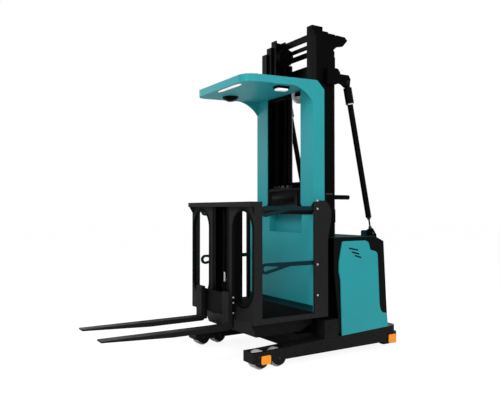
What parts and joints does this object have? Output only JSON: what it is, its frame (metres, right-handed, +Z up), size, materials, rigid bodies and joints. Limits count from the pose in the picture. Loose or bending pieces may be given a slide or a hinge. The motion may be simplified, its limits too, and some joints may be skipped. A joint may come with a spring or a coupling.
{
  "type": "order picker truck",
  "caption": "Straddle-leg order picker truck: nested lifting mast, standing cab with overhead guard, forks in front, drive unit under the rear body.",
  "frame": {"origin": "on the floor, midway between fork tips and tail and on the truck's centre plane", "axes": "+X towards the fork tips, +Y to the truck's left, +Z up"},
  "size_m": [2.768, 1.17, 3],
  "materials": {
    "teal_paint": "satin, powder coated",
    "dark_grey_paint": "satin, finely textured",
    "black_paint": "satin",
    "mast_black": "semi gloss",
    "black_plastic": "grained",
    "wheel_grey": "cast polyurethane",
    "drive_tread": "cast tread",
    "bare_steel": "ground",
    "iron_grey": "painted casting",
    "lamp_orange": "moulded lens",
    "lamp_white": "frosted lens",
    "battery_case": "moulded",
    "fork_steel": "satin"
  },
  "bodies": {
    "chassis": {"straddle_legs": "black_paint", "mast_bed": "black_paint", "load_axles": "bare_steel", "marker_lamps": "lamp_orange", "foot_blocks": "dark_grey_paint", "power_shelf": "black_paint", "battery": "battery_case", "rear_cover": "black_plastic", "side_panels": "teal_paint", "outer_mast": "mast_black", "lift_barrels": "mast_black", "mast_stays": "mast_black", "mast_fittings": "mast_black"},
    "load_wheel_front_left": {"load_wheel_1": "wheel_grey"},
    "load_wheel_back_left": {"load_wheel_2": "wheel_grey"},
    "load_wheel_front_right": {"load_wheel_3": "wheel_grey"},
    "load_wheel_back_right": {"load_wheel_4": "wheel_grey"},
    "drive_unit": {"drive_yoke": "iron_grey", "drive_motor": "iron_grey"},
    "drive_wheel_body": {"drive_wheel": "drive_tread"},
    "middle_stage": {"middle_mast": "mast_black", "middle_bars": "mast_black", "lift_rods": "bare_steel"},
    "inner_stage": {"inner_mast": "mast_black", "inner_bars": "mast_black"},
    "cab": {"mast_carriage": "black_paint", "cab_underframe": "black_paint", "cab_floor": "black_plastic", "front_wall": "dark_grey_paint", "side_frame_left": "dark_grey_paint", "side_frame_right": "dark_grey_paint", "back_wall": "teal_paint", "console": "black_plastic", "guard_posts": "teal_paint", "overhead_guard": "teal_paint", "guard_lamp": "lamp_white", "fan_dome": "black_plastic", "aux_mast": "mast_black"},
    "fork_lift": {"fork_carriage": "dark_grey_paint", "fork_left": "fork_steel", "fork_right": "fork_steel"},
    "gate_bar_low_left": {"gate_low_left": "black_paint"},
    "gate_bar_high_left": {"gate_high_left": "black_paint"},
    "gate_bar_low_right": {"gate_low_right": "black_paint"},
    "gate_bar_high_right": {"gate_high_right": "black_paint"}
  },
  "joints": [
    {"name": "load_wheel_front_left_spin", "type": "hinge", "parent": "chassis", "child": "load_wheel_front_left", "pos_m": [0.149, 0.502, 0.075], "axis": [0, 1, 0], "continuous": true},
    {"name": "load_wheel_back_left_spin", "type": "hinge", "parent": "chassis", "child": "load_wheel_back_left", "pos_m": [-0.023, 0.502, 0.075], "axis": [0, 1, 0], "continuous": true},
    {"name": "load_wheel_front_right_spin", "type": "hinge", "parent": "chassis", "child": "load_wheel_front_right", "pos_m": [0.149, -0.502, 0.075], "axis": [0, 1, 0], "continuous": true},
    {"name": "load_wheel_back_right_spin", "type": "hinge", "parent": "chassis", "child": "load_wheel_back_right", "pos_m": [-0.023, -0.502, 0.075], "axis": [0, 1, 0], "continuous": true},
    {"name": "drive_steer", "type": "hinge", "parent": "chassis", "child": "drive_unit", "pos_m": [-1.092, 0, 0.3], "axis": [0, 0, 1], "range_deg": [-90, 90]},
    {"name": "drive_wheel_spin", "type": "hinge", "parent": "drive_unit", "child": "drive_wheel_body", "pos_m": [-1.092, 0, 0.125], "axis": [0, 1, 0], "continuous": true},
    {"name": "middle_lift", "type": "slide", "parent": "chassis", "child": "middle_stage", "axis": [0, 0, 1], "range_m": [0, 1.9]},
    {"name": "inner_lift", "type": "slide", "parent": "middle_stage", "child": "inner_stage", "axis": [0, 0, 1], "range_m": [0, 1.9]},
    {"name": "cab_lift", "type": "slide", "parent": "inner_stage", "child": "cab", "axis": [0, 0, 1], "range_m": [0, 1.7]},
    {"name": "fork_lift_slide", "type": "slide", "parent": "cab", "child": "fork_lift", "axis": [0, 0, 1], "range_m": [0, 0.65]},
    {"name": "gate_low_left_swing", "type": "hinge", "parent": "cab", "child": "gate_bar_low_left", "pos_m": [-0.425, 0.526, 0.838], "axis": [0, -1, 0], "range_deg": [0, 75]},
    {"name": "gate_high_left_swing", "type": "hinge", "parent": "cab", "child": "gate_bar_high_left", "pos_m": [-0.425, 0.526, 1.31], "axis": [0, -1, 0], "range_deg": [0, 75]},
    {"name": "gate_low_right_swing", "type": "hinge", "parent": "cab", "child": "gate_bar_low_right", "pos_m": [-0.425, -0.526, 0.838], "axis": [0, -1, 0], "range_deg": [0, 75]},
    {"name": "gate_high_right_swing", "type": "hinge", "parent": "cab", "child": "gate_bar_high_right", "pos_m": [-0.425, -0.526, 1.31], "axis": [0, -1, 0], "range_deg": [0, 75]}
  ],
  "couplings": [
    {"joint": "inner_lift", "follows": "middle_lift", "ratio": 1},
    {"joint": "gate_low_left_swing", "follows": "gate_high_left_swing", "ratio": 1},
    {"joint": "gate_low_right_swing", "follows": "gate_high_right_swing", "ratio": 1}
  ]
}
